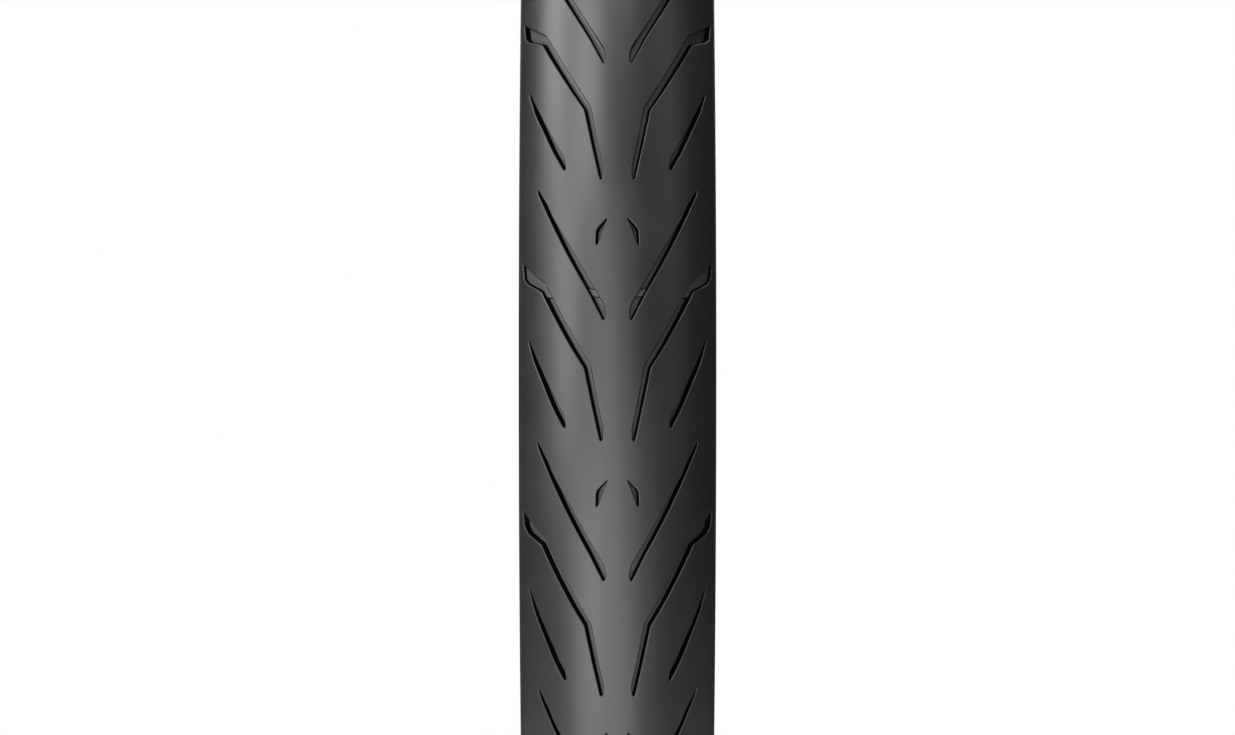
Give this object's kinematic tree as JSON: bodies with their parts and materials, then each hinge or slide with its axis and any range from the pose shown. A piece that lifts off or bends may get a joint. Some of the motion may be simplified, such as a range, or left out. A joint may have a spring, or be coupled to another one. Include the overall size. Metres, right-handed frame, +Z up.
{
  "type": "tire",
  "caption": "Slender road tire with a round directional tread, turned-up two-ply casing, breaker and wire beads, shown bare and off its rim.",
  "frame": {"origin": "centre of the wheel, on its axle line and in the tire's middle plane", "axes": "+Y along the axle line towards the tire's left side, +Z up, +X forwards with the tread's arrow pattern rolling that way"},
  "size_m": [0.719, 0.05, 0.719],
  "materials": {
    "tread_rubber": "satin moulded tread rubber",
    "sidewall_rubber": "satin moulded sidewall rubber",
    "chafer_rubber": "smooth matt hard rubber",
    "liner_rubber": "matt rubber with a faint cord imprint",
    "base_rubber": "matt soft rubber",
    "bead_rubber": "matt stiff rubber",
    "breaker_cord": "rubber-coated breaker cord",
    "ply_cord": "rubber-coated nylon cord",
    "wrap_fabric": "rubber-coated woven wrap",
    "bead_steel": "bronze-plated bead wire"
  },
  "bodies": {
    "root": {"tread_cap": "tread_rubber", "tread_base": "base_rubber", "breaker_outer": "breaker_cord", "breaker_inner": "breaker_cord", "casing_ply_outer": "ply_cord", "casing_ply_inner": "ply_cord", "inner_liner": "liner_rubber", "shoulder_cushion_left": "base_rubber", "shoulder_cushion_right": "base_rubber", "sidewall_left": "sidewall_rubber", "sidewall_right": "sidewall_rubber", "bead_wires_left": "bead_steel", "bead_wires_right": "bead_steel", "bead_insulation_left": "bead_rubber", "bead_insulation_right": "bead_rubber", "bead_wrap_left": "wrap_fabric", "bead_wrap_right": "wrap_fabric", "bead_filler_left": "bead_rubber", "bead_filler_right": "bead_rubber", "chafer_left": "chafer_rubber", "chafer_right": "chafer_rubber"}
  },
  "joints": []
}
